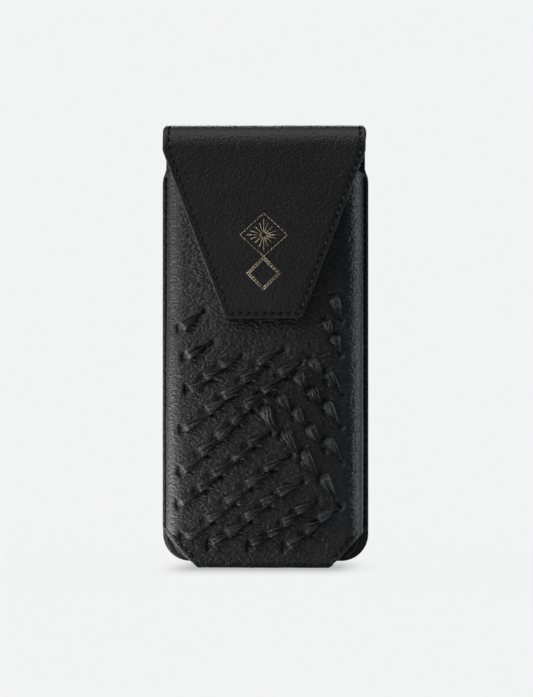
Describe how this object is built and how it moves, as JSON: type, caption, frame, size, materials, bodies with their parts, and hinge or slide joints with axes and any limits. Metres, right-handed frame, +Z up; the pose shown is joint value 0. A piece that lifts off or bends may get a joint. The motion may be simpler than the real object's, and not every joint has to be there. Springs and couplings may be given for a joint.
{
  "type": "leather pouch",
  "caption": "Slim upright leather pouch with a long tapered magnetic flap, laced leather decoration on the front and open cut bottom corners.",
  "frame": {"origin": "centre of the pouch's box in X and Y, on the surface that its folded base stands on", "axes": "+X across the pouch to the right seen from the front, +Y from the front to the back, +Z up"},
  "size_m": [0.0808, 0.03, 0.174],
  "materials": {
    "body_leather": "black pebbled leather, semi-matt",
    "flap_leather": "black leather, fine flat grain, semi-matt",
    "lace_leather": "soft black leather lace, creased, satin",
    "lining": "black brushed lining cloth",
    "board": "grey fibre stiffening board",
    "magnet": "plated disc magnet",
    "thread": "waxed black sewing thread",
    "gold_foil": "pale gold pressed foil"
  },
  "bodies": {
    "shell": {"back_panel": "body_leather", "back_board": "board", "back_lining": "lining", "front_panel": "body_leather", "front_lining": "lining", "front_magnet": "magnet", "side_thread_left": "thread", "side_thread_right": "thread", "base_thread": "thread", "corner_thread_left": "thread", "corner_thread_right": "thread", "mouth_thread": "thread", "lace_rising_1": "lace_leather", "lace_rising_2": "lace_leather", "lace_rising_3": "lace_leather", "lace_rising_4": "lace_leather", "lace_rising_5": "lace_leather", "lace_rising_6": "lace_leather", "lace_rising_7": "lace_leather", "lace_rising_8": "lace_leather", "lace_rising_9": "lace_leather", "lace_rising_10": "lace_leather", "lace_falling_1": "lace_leather", "lace_falling_2": "lace_leather", "lace_falling_3": "lace_leather", "lace_falling_4": "lace_leather", "lace_falling_5": "lace_leather", "lace_falling_6": "lace_leather"},
    "spine": {"spine_leather": "flap_leather", "spine_lining": "lining"},
    "flap": {"flap_leather": "flap_leather", "flap_core": "board", "flap_lining": "lining", "flap_magnet": "magnet", "flap_thread": "thread", "emblem": "gold_foil"}
  },
  "joints": [
    {"name": "spine_fold", "type": "hinge", "parent": "shell", "child": "spine", "pos_m": [0, 0.01246, 0.1645], "axis": [-1, 0, 0], "range_deg": [0, 100]},
    {"name": "flap_fold", "type": "hinge", "parent": "spine", "child": "flap", "pos_m": [0, -0.00652, 0.1652], "axis": [-1, 0, 0], "range_deg": [0, 90]}
  ]
}
